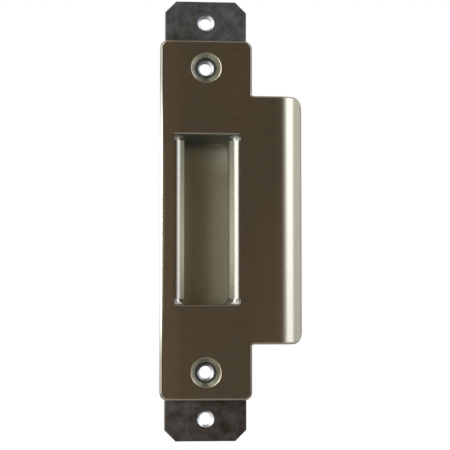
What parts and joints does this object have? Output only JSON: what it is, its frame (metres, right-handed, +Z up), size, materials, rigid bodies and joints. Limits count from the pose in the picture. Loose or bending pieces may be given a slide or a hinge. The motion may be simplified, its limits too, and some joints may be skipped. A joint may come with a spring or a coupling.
{
  "type": "curved-lip mortise strike plate with dust box and backing plate",
  "caption": "Dark bronze strike plate with a curved lip and a flanged slot, with the dust box and tapped backing plate behind it.",
  "frame": {"origin": "midway between the screws, on the front face of the backing plate, where the strike plate lies and the tabs meet the back of the jamb", "axes": "+X across the plate towards the lip, +Y into the jamb, +Z up along the plate"},
  "size_m": [0.0495, 0.0292, 0.1516],
  "materials": {
    "dark_bronze": "dark oxidised bronze, brushed across the plate, satin",
    "box_bronze": "bronze-toned thin steel, satin",
    "dull_zinc": "dull grey zinc with a faint purple tint"
  },
  "bodies": {
    "root": {"strike_plate": "dark_bronze", "dust_box": "box_bronze", "backing_plate": "dull_zinc"}
  },
  "joints": []
}
